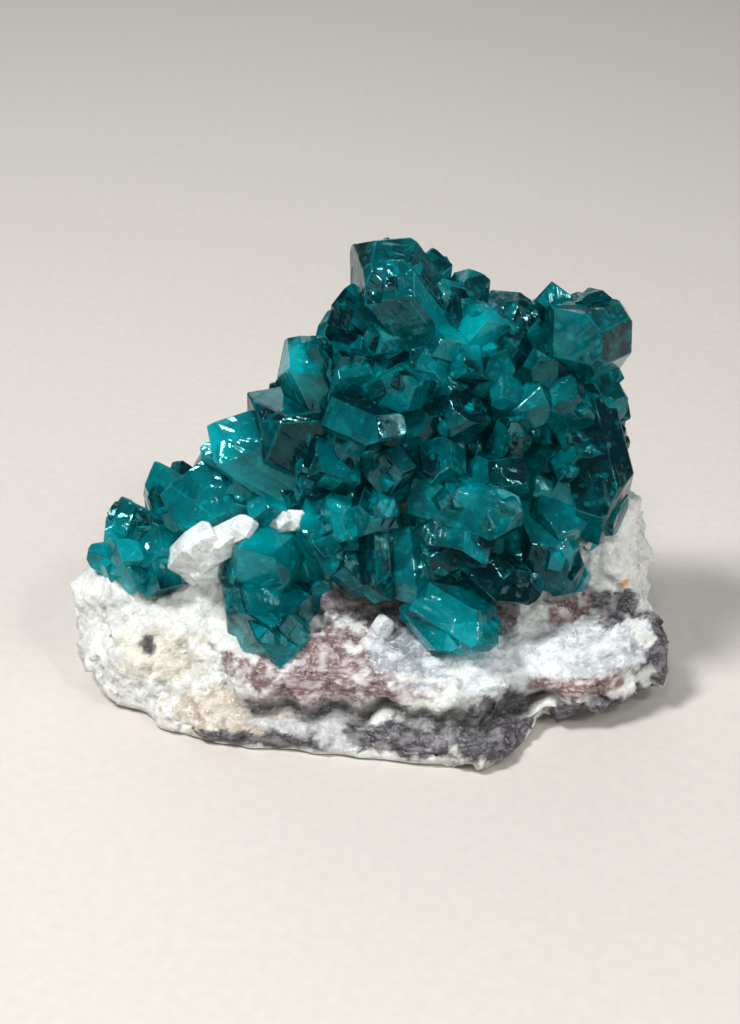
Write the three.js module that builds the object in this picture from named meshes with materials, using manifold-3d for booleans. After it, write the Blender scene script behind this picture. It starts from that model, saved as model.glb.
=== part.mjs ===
// A dioptase specimen: deep blue-green crystals grown over a loose piece of calcite rock.
// Millimetres, +Z up, front of the specimen towards -Y.
// The origin is the middle of the flat face it rests on.

import * as THREE from "three";
import { ConvexGeometry } from "three/addons/geometries/ConvexGeometry.js";
import { mergeVertices } from "three/addons/utils/BufferGeometryUtils.js";
import Module from "manifold-3d";

const wasm = await Module();
wasm.setup();

// Driving dimensions
const REST_DEPTH = 40; // how far the block that cuts the resting face reaches below it
const CONTACT_GAP = 0.3; // between pieces that touch
const ROCK_DETAIL = 2; // subdivisions of each large lump of rock, one fewer on a small one
const LARGE_LUMP = 8; // a lump with a radius over this is a large one
const ROCK_BOXINESS = 3.4; // 2 is an ellipsoid, higher is closer to a block
const ROCK_ROUGHNESS = 0.07; // how far a lump's surface wanders, as a share of its radius
const ROCK_WAVES = 5; // waves that shape a lump, each shorter than the one before
const LONGEST_WAVE = 5; // in radians over one radius
const WAVE_STEP = 3;
const SAME_POINT = 1e-4; // corners this close are one corner
const NEARLY_PARALLEL = 1e-6; // three planes with a slant below this meet in no point
const BEHIND_PLANE = 1e-5; // a corner this little in front of a plane still counts as behind it

const PRISM_SIDES = 6;
const POINT_FACES = 3;
const POINT_SLOPE = THREE.MathUtils.degToRad(51); // between the crystal's long axis and a point face's normal
const SIDE_WANDER = 0.3; // how unequal the prism's six sides are
const AXIS_WANDER = 0.3; // how far the prism sits off its point, as a share of the crystal's width

const DRUSE_SPACING = 7.0; // between the fill crystals
const DRUSE_CLEARANCE = 4.2; // a fill crystal this close to a large one's tip is left out
const DRUSE_WIDTH = [3.8, 5.8];
const DRUSE_LENGTH = 8;
const DRUSE_PROUD = [-0.6, 1.5]; // how far a fill crystal's tip stands out of the druse's surface
const DRUSE_SPLAY = 0.42; // how far a fill crystal leans away from the surface's normal
const DRUSE_SEED = 77; // of the fill crystals' places
const DRUSE_STRAY = 0.7; // how far a fill crystal strays from its place in its row, as a share of the spacing
const BACK_REACH = THREE.MathUtils.degToRad(122); // where the druse ends, from its foot over the crest
const SLOPE_STEP = 0.4; // the steps along X and around that find the surface's slope
const SLOPE_ANGLE = 0.02;

// The number that each cluster's crystals count their seeds from
const SEEDS = {
  druse: 100,
  fill: 300,
  leftCrust: 500,
  lowerLeft: 520,
  front: 540,
  backUpper: 560,
  backLower: 580,
};

// The rock: lumps that run into each other, each with a middle, three radii and a turn about Z
const ROCK_LUMPS = [
  { name: "lower plate", at: [-1.5, -1.5, 1.2], radii: [20.0, 13.4, 3.0], turn: -12, seed: 1 },
  { name: "upper ledge", at: [-1.5, 1.4, 5.8], radii: [19.5, 12.8, 3.8], turn: -10, seed: 2 },
  { name: "white left block", at: [-19.5, 4.0, 6.4], radii: [11.0, 9.6, 5.8], turn: -18, seed: 3 },
  { name: "left foot", at: [-22.6, -1.2, 3.6], radii: [7.4, 6.4, 4.4], turn: -20, seed: 13 },
  { name: "left tip", at: [-26.2, 4.4, 8.6], radii: [5.4, 6.0, 4.8], turn: 0, seed: 4 },
  { name: "right block", at: [21.8, 0.6, 5.4], radii: [8.8, 9.6, 4.4], turn: 20, seed: 5 },
  { name: "foot of the spine", at: [6.0, 6.4, 12.0], radii: [18.0, 8.0, 8.6], turn: 0, seed: 6 },
  { name: "main spine", at: [10.0, 9.2, 15.0], radii: [15.0, 6.4, 13.0], turn: 4, seed: 7 },
  { name: "upper spine", at: [11.5, 9.8, 26.0], radii: [11.8, 4.8, 10.6], turn: -3, seed: 14 },
  { name: "left spine", at: [-8.0, 9.2, 13.0], radii: [9.0, 5.8, 12.0], turn: 0, seed: 8 },
  { name: "low left spine", at: [-19.0, 8.6, 10.0], radii: [7.5, 5.6, 6.2], turn: 0, seed: 9 },
  { name: "right fin", at: [24.2, 7.0, 12.4], radii: [5.4, 6.6, 7.8], turn: 0, seed: 10 },
  { name: "white knob", at: [-16.0, 2.6, 14.4], radii: [4.4, 3.2, 3.2], turn: 15, seed: 11 },
  { name: "white window", at: [-8.0, 2.4, 18.4], radii: [3.0, 3.2, 2.4], turn: 0, seed: 12 },
];

// The druse's surface, station by station from left to right: its foot at the front and its crest
const DRUSE_STATIONS = [
  { x: -24, foot: [0.5, 14.5], crest: [7.5, 19.0] },
  { x: -17, foot: [-0.5, 15.5], crest: [8.5, 25.0] },
  { x: -12, foot: [-1.5, 14.5], crest: [9.0, 29.5] },
  { x: -8, foot: [-2.0, 13.5], crest: [9.0, 35.0] },
  { x: -3, foot: [-2.5, 13.5], crest: [9.0, 41.5] },
  { x: 2, foot: [-3.0, 13.5], crest: [9.0, 45.0] },
  { x: 8, foot: [-3.5, 13.5], crest: [9.0, 44.0] },
  { x: 13, foot: [-3.0, 14.0], crest: [9.5, 41.0] },
  { x: 18, foot: [-2.5, 14.5], crest: [9.5, 40.0] },
  { x: 23, foot: [-1.0, 15.5], crest: [9.0, 39.0] },
  { x: 26, foot: [2.0, 17.0], crest: [9.0, 34.0] },
];

// The large crystals of the druse: tip, direction of the long axis, width across the sides, length and turn
const MAIN_CRYSTALS = [
  // the top edge
  { tip: [-0.5, 3.5, 49.2], towards: [-0.5, -0.36, 0.8], width: 8.4, length: 14, turn: 34 },
  { tip: [1.2, 2.4, 47.4], towards: [-0.5, -0.36, 0.8], width: 5.0, length: 10, turn: 34 },
  { tip: [2.6, 8.4, 47.6], towards: [0.1, -0.2, 1], width: 5.0, length: 11, turn: 20 },
  { tip: [6.4, 9.0, 46.6], towards: [0.1, 0.1, 1], width: 4.6, length: 10, turn: 5 },
  { tip: [10.6, 8.4, 44.9], towards: [0.25, 0, 1], width: 4.4, length: 9, turn: 40 },
  { tip: [5.0, 4.4, 44.4], towards: [0.1, -0.75, 0.65], width: 4.8, length: 9, turn: 12 },
  { tip: [8.6, 5.0, 44.0], towards: [0, -0.5, 0.85], width: 4.6, length: 9, turn: 50 },
  { tip: [12.4, 3.2, 41.8], towards: [0.3, -0.6, 0.7], width: 5.0, length: 9, turn: 30 },
  { tip: [1.6, 1.4, 41.0], towards: [-0.15, -0.85, 0.5], width: 6.2, length: 10, turn: 35 },
  { tip: [-3.6, 5.2, 42.0], towards: [-0.45, -0.3, 0.85], width: 4.6, length: 9, turn: 8 },
  { tip: [-7.6, 2.8, 39.8], towards: [-0.35, -0.15, 0.92], width: 6.0, length: 10, turn: 36 },
  { tip: [-3.2, 0.6, 37.2], towards: [-0.2, -0.75, 0.62], width: 6.2, length: 10, turn: 22 },
  { tip: [15.4, 7.0, 42.2], towards: [0, -0.2, 1], width: 5.0, length: 9, turn: 14 },
  // the left shoulder
  { tip: [-10.6, -0.8, 31.6], towards: [-0.45, -0.8, 0.6], width: 10.6, length: 14, turn: 31 },
  { tip: [-16.8, 2.6, 29.9], towards: [-0.75, -0.1, 0.65], width: 7.0, length: 12, turn: 37 },
  { tip: [-22.2, 2.0, 22.8], towards: [-0.85, -0.35, 0.4], width: 7.4, length: 10, turn: 42 },
  { tip: [-5.4, -3.2, 27.4], towards: [-0.2, -0.9, 0.35], width: 6.6, length: 9, turn: 0 },
  { tip: [-14.0, 0.6, 24.4], towards: [-0.2, -0.7, 0.65], width: 5.4, length: 9, turn: 10 },
  { tip: [-22.9, 8.6, 22.8], towards: [-0.3, 0.1, 0.95], width: 5.0, length: 9, turn: 24 },
  { tip: [-15.6, -0.2, 21.4], towards: [-0.1, -0.9, 0.45], width: 4.8, length: 7, turn: 50 },
  { tip: [-11.0, -1.8, 22.6], towards: [0, -0.9, 0.4], width: 4.6, length: 7, turn: 16 },
  // the upper right
  { tip: [22.8, 0.4, 42.2], towards: [0.12, -0.72, 0.66], width: 8.2, length: 16, turn: 68 },
  { tip: [22.6, 6.6, 43.6], towards: [0.1, 0.1, 1], width: 4.4, length: 9, turn: 12 },
  { tip: [18.4, 7.6, 43.4], towards: [-0.1, -0.1, 1], width: 4.4, length: 9, turn: 0 },
  { tip: [26.4, 3.5, 32.8], towards: [0.8, -0.35, 0.45], width: 4.4, length: 9, turn: 20 },
  { tip: [27.2, 4.2, 28.4], towards: [0.85, -0.3, 0.4], width: 4.8, length: 9, turn: 40 },
  { tip: [27.6, 5.0, 23.6], towards: [0.9, 0, 0.2], width: 4.4, length: 8, turn: 33 },
  { tip: [20.8, -0.6, 34.4], towards: [0.3, -0.75, 0.5], width: 5.2, length: 9, turn: 6 },
  { tip: [21.0, -2.4, 28.6], towards: [0.1, -0.9, 0.4], width: 5.6, length: 9, turn: 26 },
  { tip: [24.4, -1.2, 17.4], towards: [0.25, -0.5, -0.85], width: 7.0, length: 15, turn: 44 },
  { tip: [19.5, -4.0, 20.2], towards: [0.1, -0.95, 0.1], width: 6.0, length: 9, turn: 48 },
  // the middle
  { tip: [7.2, 0.8, 40.0], towards: [0, -0.75, 0.6], width: 4.4, length: 8, turn: 25 },
  { tip: [9.9, -0.8, 37.4], towards: [0, -0.9, 0.4], width: 4.4, length: 8, turn: 0 },
  { tip: [13.6, 1.0, 38.6], towards: [0.3, -0.35, 0.9], width: 4.6, length: 9, turn: 103 },
  { tip: [13.6, -1.2, 34.9], towards: [0.1, -0.9, 0.35], width: 3.6, length: 7, turn: 10 },
  { tip: [9.2, -3.2, 33.2], towards: [0.1, -0.9, 0.4], width: 4.8, length: 9, turn: 20 },
  { tip: [17.2, 1.6, 38.0], towards: [0.1, -0.5, 0.8], width: 4.2, length: 8, turn: 30 },
  { tip: [17.2, -0.8, 34.2], towards: [0.2, -0.8, 0.5], width: 4.6, length: 8, turn: 5 },
  { tip: [14.4, -2.8, 31.2], towards: [0, -0.9, 0.4], width: 4.6, length: 8, turn: 38 },
  { tip: [4.2, -4.0, 31.4], towards: [0.75, -0.6, -0.1], width: 4.4, length: 9, turn: 24 },
  { tip: [4.6, -1.4, 36.0], towards: [0.2, -0.8, 0.5], width: 4.8, length: 8, turn: 55 },
  { tip: [-1.4, -3.8, 31.2], towards: [-0.3, -0.85, 0.35], width: 4.4, length: 8, turn: 0 },
  { tip: [2.8, -5.0, 27.4], towards: [0.1, -1, 0.1], width: 4.8, length: 9, turn: 46 },
  { tip: [8.2, -5.0, 27.8], towards: [0.2, -0.95, 0.2], width: 4.8, length: 9, turn: 4 },
  { tip: [15.8, -5.8, 22.6], towards: [0.85, -0.5, -0.05], width: 5.2, length: 12, turn: 44 },
  { tip: [9.0, -6.4, 23.6], towards: [0.1, -0.95, -0.1], width: 4.8, length: 9, turn: 30 },
  { tip: [15.6, -4.8, 26.6], towards: [0.5, -0.8, 0.1], width: 4.6, length: 8, turn: 8 },
  // the lower edge
  { tip: [12.8, -7.2, 18.8], towards: [0.6, -0.75, -0.3], width: 5.4, length: 10, turn: 16 },
  { tip: [6.4, -6.6, 19.6], towards: [-0.1, -0.9, -0.2], width: 5.2, length: 9, turn: 40 },
  { tip: [0.6, -5.8, 21.8], towards: [0, -0.95, -0.1], width: 5.2, length: 9, turn: 16 },
  { tip: [-4.4, -5.4, 16.2], towards: [-0.1, -0.85, -0.3], width: 6.2, length: 9, turn: 28 },
  { tip: [-3.0, -5.0, 20.4], towards: [-0.1, -0.95, 0], width: 5.2, length: 8, turn: 6 },
  { tip: [-2.0, -5.6, 13.6], towards: [-0.1, -0.7, -0.65], width: 4.4, length: 8, turn: 52 },
  { tip: [1.4, -6.2, 13.4], towards: [0.05, -0.55, -0.8], width: 4.2, length: 8, turn: 30 },
  { tip: [4.6, -6.6, 13.4], towards: [0.1, -0.6, -0.75], width: 4.2, length: 8, turn: 10 },
  { tip: [7.4, -6.6, 14.8], towards: [0.1, -0.8, -0.5], width: 6.0, length: 9, turn: 44 },
  { tip: [16.2, -6.6, 13.8], towards: [0.7, -0.55, -0.45], width: 5.4, length: 12, turn: 18 },
  { tip: [19.8, -5.2, 15.4], towards: [0.3, -0.8, -0.5], width: 5.6, length: 10, turn: 2 },
  { tip: [17.2, -4.8, 12.4], towards: [0.3, -0.6, -0.7], width: 4.6, length: 8, turn: 25 },
  { tip: [20.8, -3.6, 13.0], towards: [0.3, -0.6, -0.7], width: 4.2, length: 8, turn: 40 },
];

// The crust of small crystals at the far left
const LEFT_CRUST_CRYSTALS = [
  { tip: [-26.3, 5.0, 20.4], towards: [-0.2, -0.1, 1], width: 4.8, length: 8, turn: 10 },
  { tip: [-28.2, 3.2, 18.0], towards: [-0.5, -0.5, 0.7], width: 4.4, length: 7, turn: 30 },
  { tip: [-29.6, 1.4, 15.6], towards: [-0.5, -0.6, 0.5], width: 3.8, length: 6, turn: 0 },
  { tip: [-27.6, -0.4, 14.8], towards: [-0.2, -0.9, 0.2], width: 3.6, length: 6, turn: 52 },
  { tip: [-25.6, -1.6, 16.2], towards: [-0.1, -0.9, 0.4], width: 4.4, length: 7, turn: 24 },
  { tip: [-24.0, -2.2, 13.8], towards: [0.1, -0.95, 0], width: 3.6, length: 6, turn: 44 },
  { tip: [-21.4, -1.6, 17.2], towards: [0.1, -0.85, 0.45], width: 4.4, length: 7, turn: 12 },
  { tip: [-20.8, -2.2, 14.8], towards: [0.1, -0.95, -0.1], width: 3.6, length: 6, turn: 36 },
  { tip: [-24.0, 1.4, 18.8], towards: [-0.1, -0.7, 0.7], width: 5.0, length: 7, turn: 18 },
];

// The cluster that hangs over the ledge at the lower left
const LOWER_LEFT_CRYSTALS = [
  { tip: [-8.4, -5.4, 18.2], towards: [0.4, -0.85, 0.45], width: 7.8, length: 9, turn: 85 },
  { tip: [-13.9, -3.6, 15.8], towards: [-0.35, -0.85, 0.3], width: 5.4, length: 8, turn: 20 },
  { tip: [-9.8, -9.2, 12.4], towards: [0.15, -0.95, 0.1], width: 8.8, length: 11, turn: 72 },
  { tip: [-8.4, -10.0, 8.6], towards: [0.35, -0.85, -0.35], width: 6.4, length: 9, turn: 72 },
];

// The two crystals that lie on the ledge, lower centre
const FRONT_CRYSTALS = [
  { tip: [13.4, -9.8, 10.4], towards: [0.82, -0.5, -0.3], width: 5.4, length: 10, turn: 19 },
  { tip: [9.4, -10.0, 10.0], towards: [0.6, -0.7, -0.4], width: 4.6, length: 8, turn: 4 },
];

// Short crystals scattered over the back of the rock, each group apart from the others
const BACK_UPPER_CRYSTALS = [
  { tip: [17.0, 18.4, 22.0], towards: [0.1, 0.95, 0.3], width: 3.8, length: 6, turn: 0 },
  { tip: [13.6, 18.2, 23.6], towards: [-0.2, 0.9, 0.4], width: 3.0, length: 6, turn: 25 },
];
const BACK_LOWER_CRYSTALS = [
  { tip: [-3.4, 18.2, 15.0], towards: [-0.1, 0.95, 0.3], width: 4.2, length: 6, turn: 12 },
  { tip: [-6.4, 18.0, 16.6], towards: [-0.4, 0.85, 0.4], width: 3.2, length: 6, turn: 40 },
];

const DIOPTASE = { color: 0x006b70, roughness: 0.06, metalness: 0 };
const ROCK = { color: 0xcfc9c2, roughness: 0.8, metalness: 0 };

// A repeatable stream of numbers from 0 to 1
function randomStream(seed) {
  const modulus = 4294967296;
  let state = (seed * 2654435761 + 12345) % modulus;
  return () => {
    state = (state * 1664525 + 1013904223) % modulus;
    return state / modulus;
  };
}

const between = ([low, high], share) => low + (high - low) * share;

function solidOf(geometry) {
  const bare = new THREE.BufferGeometry();
  bare.setAttribute("position", geometry.getAttribute("position"));
  if (geometry.index) bare.setIndex(geometry.index);
  const merged = mergeVertices(bare, SAME_POINT);
  return new wasm.Manifold(
    new wasm.Mesh({
      numProp: 3,
      vertProperties: new Float32Array(merged.attributes.position.array),
      triVerts: new Uint32Array(merged.index.array),
    }),
  );
}

function geometryOf(solid) {
  const mesh = solid.getMesh();
  const geometry = new THREE.BufferGeometry();
  geometry.setAttribute("position", new THREE.BufferAttribute(mesh.vertProperties, 3));
  geometry.setIndex(new THREE.BufferAttribute(mesh.triVerts, 1));
  geometry.computeVertexNormals();
  return geometry;
}

const join = (solids) => solids.reduce((whole, solid) => whole.add(solid));

// The largest body of a solid, without sealed pockets or loose splinters
function largestBody(solid) {
  return solid.decompose().reduce((best, body) => (body.volume() > best.volume() ? body : best));
}

// The point where three planes meet, or null where two of them are nearly parallel
function meetingPoint(a, b, c) {
  const bc = new THREE.Vector3().crossVectors(b.normal, c.normal);
  const ca = new THREE.Vector3().crossVectors(c.normal, a.normal);
  const ab = new THREE.Vector3().crossVectors(a.normal, b.normal);
  const slant = a.normal.dot(bc);
  if (Math.abs(slant) < NEARLY_PARALLEL) return null;
  return bc
    .multiplyScalar(-a.constant)
    .addScaledVector(ca, -b.constant)
    .addScaledVector(ab, -c.constant)
    .divideScalar(slant);
}

// The corners of the space behind every plane
function cornersBehind(planes) {
  const corners = [];
  for (let i = 0; i < planes.length; i++)
    for (let j = i + 1; j < planes.length; j++)
      for (let k = j + 1; k < planes.length; k++) {
        const point = meetingPoint(planes[i], planes[j], planes[k]);
        if (!point) continue;
        const inside = planes.every((plane) => plane.distanceToPoint(point) < BEHIND_PLANE);
        const known = corners.some((corner) => corner.distanceTo(point) < SAME_POINT);
        if (inside && !known) corners.push(point);
      }
  return corners;
}

// A dioptase crystal along +Z with its tip at the origin: a six-sided prism and a point of three rhombs,
// whose faces stand over every second edge of the prism
function crystalPlanes(width, length, seed, grow) {
  const random = randomStream(seed);
  const planes = [];
  const centre = new THREE.Vector3(random() - 0.5, random() - 0.5, 0).multiplyScalar(AXIS_WANDER * width);
  for (let side = 0; side < PRISM_SIDES; side++) {
    const around = (side * 2 * Math.PI) / PRISM_SIDES;
    const reach = (width / 2) * (1 + SIDE_WANDER * (random() - 0.5));
    const normal = new THREE.Vector3(Math.cos(around), Math.sin(around), 0);
    planes.push(new THREE.Plane(normal, -(reach + centre.dot(normal) + grow)));
  }
  for (let face = 0; face < POINT_FACES; face++) {
    const around = Math.PI / PRISM_SIDES + (face * 2 * Math.PI) / POINT_FACES;
    const normal = new THREE.Vector3(
      Math.sin(POINT_SLOPE) * Math.cos(around),
      Math.sin(POINT_SLOPE) * Math.sin(around),
      Math.cos(POINT_SLOPE),
    );
    planes.push(new THREE.Plane(normal, -grow));
  }
  planes.push(new THREE.Plane(new THREE.Vector3(0, 0, -1), -(length + grow)));
  return planes;
}

function crystalSolid({ tip, towards, width, length, turn, seed }, grow) {
  const geometry = new ConvexGeometry(cornersBehind(crystalPlanes(width, length, seed, grow)));
  const axis = new THREE.Vector3(...towards).normalize();
  geometry.rotateZ(THREE.MathUtils.degToRad(turn));
  geometry.applyQuaternion(new THREE.Quaternion().setFromUnitVectors(new THREE.Vector3(0, 0, 1), axis));
  geometry.translate(...tip);
  return solidOf(geometry);
}

// Foot and crest of the druse at a place along X
function druseStation(x) {
  const last = DRUSE_STATIONS.length - 1;
  if (x <= DRUSE_STATIONS[0].x) return DRUSE_STATIONS[0];
  if (x >= DRUSE_STATIONS[last].x) return DRUSE_STATIONS[last];
  const next = DRUSE_STATIONS.findIndex((station) => station.x > x);
  const [a, b] = [DRUSE_STATIONS[next - 1], DRUSE_STATIONS[next]];
  const share = (x - a.x) / (b.x - a.x);
  const blend = (key, i) => a[key][i] + (b[key][i] - a[key][i]) * share;
  return { x, foot: [blend("foot", 0), blend("foot", 1)], crest: [blend("crest", 0), blend("crest", 1)] };
}

// A point of the druse's surface, a quarter ellipse from foot to crest that runs on over the back
function drusePoint(x, angle) {
  const { foot, crest } = druseStation(x);
  return new THREE.Vector3(
    x,
    crest[0] - (crest[0] - foot[0]) * Math.cos(angle),
    foot[1] + (crest[1] - foot[1]) * Math.sin(angle),
  );
}

function druseNormal(x, angle) {
  const along = drusePoint(x + SLOPE_STEP, angle).sub(drusePoint(x - SLOPE_STEP, angle));
  const up = drusePoint(x, angle + SLOPE_ANGLE).sub(drusePoint(x, angle - SLOPE_ANGLE));
  return along.cross(up).normalize();
}

// Crystals that fill the druse between the large ones
function fillCrystals(large) {
  const random = randomStream(DRUSE_SEED);
  const crystals = [];
  const firstX = DRUSE_STATIONS[0].x;
  const lastX = DRUSE_STATIONS[DRUSE_STATIONS.length - 1].x;
  for (let x = firstX; x <= lastX; x += DRUSE_SPACING) {
    const { foot, crest } = druseStation(x);
    const height = Math.hypot(crest[0] - foot[0], crest[1] - foot[1]);
    const rows = Math.round((height * BACK_REACH) / (Math.PI / 2) / DRUSE_SPACING);
    for (let row = 0; row <= rows; row++) {
      const draws = Array.from({ length: 8 }, random);
      const placeX = x + (draws[0] - 0.5) * DRUSE_SPACING * DRUSE_STRAY;
      const angle = ((row + (draws[1] - 0.5) * DRUSE_STRAY) / rows) * BACK_REACH;
      const normal = druseNormal(placeX, angle);
      const tip = drusePoint(placeX, angle).addScaledVector(normal, between(DRUSE_PROUD, draws[2]));
      const nearest = Math.min(...large.map((crystal) => tip.distanceTo(new THREE.Vector3(...crystal.tip))));
      if (nearest < DRUSE_CLEARANCE) continue;
      const lean = new THREE.Vector3(draws[3] - 0.5, draws[4] - 0.5, draws[5] - 0.5);
      crystals.push({
        tip: tip.toArray(),
        towards: normal.addScaledVector(lean, 2 * DRUSE_SPLAY).toArray(),
        width: between(DRUSE_WIDTH, draws[6]),
        length: DRUSE_LENGTH,
        turn: 60 * draws[7],
      });
    }
  }
  return crystals;
}

const numbered = (crystals, firstSeed) => crystals.map((crystal, i) => ({ ...crystal, seed: firstSeed + i }));

function rockLump({ at, radii, turn, seed }, grow) {
  const detail = Math.max(...radii) > LARGE_LUMP ? ROCK_DETAIL : ROCK_DETAIL - 1;
  const geometry = new THREE.IcosahedronGeometry(1, detail);
  geometry.deleteAttribute("normal");
  geometry.deleteAttribute("uv");
  const lump = mergeVertices(geometry, SAME_POINT);
  const random = randomStream(seed);
  const waves = Array.from({ length: ROCK_WAVES }, (_, i) => {
    const way = new THREE.Vector3(random() - 0.5, random() - 0.5, random() - 0.5);
    return { way: way.multiplyScalar(LONGEST_WAVE + WAVE_STEP * i), start: 2 * Math.PI * random() };
  });
  const points = lump.attributes.position;
  const ray = new THREE.Vector3();
  for (let i = 0; i < points.count; i++) {
    ray.fromBufferAttribute(points, i);
    const power = (value) => Math.abs(value) ** ROCK_BOXINESS;
    const block = (power(ray.x) + power(ray.y) + power(ray.z)) ** (-1 / ROCK_BOXINESS);
    const wander = waves.reduce((sum, wave) => sum + Math.sin(ray.dot(wave.way) + wave.start), 0);
    const reach = block * (1 + (ROCK_ROUGHNESS * wander) / 2);
    ray.multiply(new THREE.Vector3(...radii).addScalar(grow)).multiplyScalar(reach);
    points.setXYZ(i, ray.x, ray.y, ray.z);
  }
  lump.rotateZ(THREE.MathUtils.degToRad(turn));
  lump.translate(...at);
  return solidOf(lump);
}

function rockSolid(grow) {
  const belowTable = new THREE.BoxGeometry(4 * REST_DEPTH, 4 * REST_DEPTH, REST_DEPTH);
  belowTable.translate(0, 0, -REST_DEPTH / 2);
  return join(ROCK_LUMPS.map((lump) => rockLump(lump, grow))).subtract(solidOf(belowTable));
}

const specimen = new THREE.Group();

function addPiece(name, solid, look) {
  const mesh = new THREE.Mesh(geometryOf(solid), new THREE.MeshStandardMaterial(look));
  mesh.name = name;
  specimen.add(mesh);
}

const rockCutter = rockSolid(CONTACT_GAP);
const clusters = {
  dioptase_druse: [
    ...numbered(MAIN_CRYSTALS, SEEDS.druse),
    ...numbered(fillCrystals(MAIN_CRYSTALS), SEEDS.fill),
  ],
  dioptase_left_crust: numbered(LEFT_CRUST_CRYSTALS, SEEDS.leftCrust),
  dioptase_lower_left: numbered(LOWER_LEFT_CRYSTALS, SEEDS.lowerLeft),
  dioptase_front_crystal: numbered(FRONT_CRYSTALS, SEEDS.front),
  dioptase_back_upper: numbered(BACK_UPPER_CRYSTALS, SEEDS.backUpper),
  dioptase_back_lower: numbered(BACK_LOWER_CRYSTALS, SEEDS.backLower),
};

addPiece("matrix", largestBody(rockSolid(0)), ROCK);

// Each cluster leaves room for the rock and for the clusters before it
let taken = rockCutter;
for (const [name, crystals] of Object.entries(clusters)) {
  const grownTogether = join(crystals.map((crystal) => crystalSolid(crystal, 0)));
  addPiece(name, largestBody(grownTogether.subtract(taken)), DIOPTASE);
  taken = taken.add(join(crystals.map((crystal) => crystalSolid(crystal, CONTACT_GAP))));
}

export default specimen;
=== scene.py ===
import math

import bmesh
import bpy
from mathutils import Matrix, Quaternion, Vector, noise
from mathutils.bvhtree import BVHTree


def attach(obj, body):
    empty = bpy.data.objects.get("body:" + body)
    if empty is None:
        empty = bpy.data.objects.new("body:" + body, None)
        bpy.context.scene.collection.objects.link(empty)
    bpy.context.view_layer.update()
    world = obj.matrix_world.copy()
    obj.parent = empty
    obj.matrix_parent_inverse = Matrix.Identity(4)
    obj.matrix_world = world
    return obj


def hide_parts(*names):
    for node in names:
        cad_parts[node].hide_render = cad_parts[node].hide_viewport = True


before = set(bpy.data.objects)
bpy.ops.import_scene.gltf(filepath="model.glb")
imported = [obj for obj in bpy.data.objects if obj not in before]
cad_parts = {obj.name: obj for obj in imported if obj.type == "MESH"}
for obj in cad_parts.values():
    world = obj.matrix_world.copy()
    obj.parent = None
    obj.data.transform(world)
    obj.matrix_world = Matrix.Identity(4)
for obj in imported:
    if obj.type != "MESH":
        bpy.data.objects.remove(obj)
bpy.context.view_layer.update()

# Lengths in the lists and constants below are in millimetres. The scene is in metres.
MM = 0.001

# How a dioptase crystal is built: a six-sided prism and a point of three rhombs
PRISM_SIDES = 6
POINT_FACES = 3
POINT_SLOPE = math.radians(51)  # between the long axis and a point face's normal
SIDE_WANDER = 0.3  # how unequal the prism's six sides are
AXIS_WANDER = 0.3  # how far the prism sits off its point, as a share of the crystal's width
EDGE_ROUNDING = 0.014  # share of a crystal's width
START_CUBE = 4  # the cube that a crystal is cut from, in crystal lengths
ON_PLANE = 1e-4  # a corner this close to a cutting plane is on it
SAME_PLACE = 0.02  # corners this close are one corner
NO_DIRECTION = 1e-3  # a vector shorter than this has no direction
GROWTH_START = 40  # how far apart the growth lines of two crystals can start

# Small faces cut on a crystal's corners
SMALL_FACES = 5
SMALL_FACE_SLOPE = (math.radians(12), math.radians(82))
SMALL_FACE_DEPTH = (0.02, 0.18)  # share of a crystal's width

# The druse between the large crystals
FILL_SEED = 77
FILL_SPACING = 2.7
FILL_CLEARANCE = 1.8  # a fill crystal this close to a large one's tip is left out
FILL_WIDTH = (2.6, 5.0)
FILL_NARROW = 1.5  # over 1, more of them are narrow
FILL_LENGTH = 7.0
FILL_PROUD = (-1.8, 0.3)  # how far a tip stands out of the druse's surface
FILL_SPLAY = 0.75  # how far a crystal can lean off the surface's normal
FILL_STRAY = 0.9  # how far it can be out of its place in its row, as a share of the spacing
FILL_TURN = 60  # the most that it is turned, in degrees
FILL_DRAWS = 8  # random numbers that each one takes
BACK_REACH = math.radians(122)  # where the druse ends, from its foot over the crest
SLOPE_STEP = 0.4  # the steps along X and around that find the surface's slope
SLOPE_ANGLE = 0.02

# Parallel growth: smaller crystals in step with a larger one
STEPPED_WIDTH = (4.8, 7.2)  # only crystals between these widths have them
STEPS = 4
STEP_SEED = 9000
STEP_OUT = (0.16, 0.34)  # shares of the large crystal's width
STEP_DOWN = (0.06, 0.4)
STEP_SIZE = (0.3, 0.55)

# How bright the crystals are painted inside: painted light makes them paler where they meet the rock
GLOW_REACH = 2.6
GLOW_AT_ROCK = 0.5
GLOW_CORE = 1 / 3  # a place glows its full strength within this share of its radius

# The rock's surface
ROCK_COARSE = 0.9  # grid of the mesh that is smoothed
ROCK_FINE = 0.36  # grid of the mesh that is broken into facets
ROCK_ROUNDS = 5  # of smoothing
ROCK_SOFTNESS = 0.6
ROCK_BULGES = (9.0, 0.9)  # size and height
ROCK_FACETS = (3.4, 0.8)
ROCK_GRAINS = (1.15, 0.28)
BULGE_ROUGHNESS = 0.8
FACET_SEED = 11
GRAIN_SEED = 5
FACET_STEP = 0.5  # how far one facet stands above another
FACET_KEYS = (7.3, 3.1)  # spread the facets' middles apart, so that each has random numbers of its own
OCTAVES = 3  # layers of noise
FINER = 2.0  # how much finer each layer is than the one before
RELIEF_START = (0.1, 1.3)  # the relief fades in between these heights, so that the base stays flat
CRACK_DEPTH = 1.5
CRACK_WIDTH = 0.5
CRACK_WANDER = (2.5, 0.8)  # length and height of its waves
CRACK_FADE = 3  # at both ends

# The photograph's view
CAMERA_DISTANCE = 205
CAMERA_ELEVATION = math.radians(27)
CAMERA_TARGET = (0, 0, 21)
CAMERA_LENS = 70
CAMERA_NEAREST = 10

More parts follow.
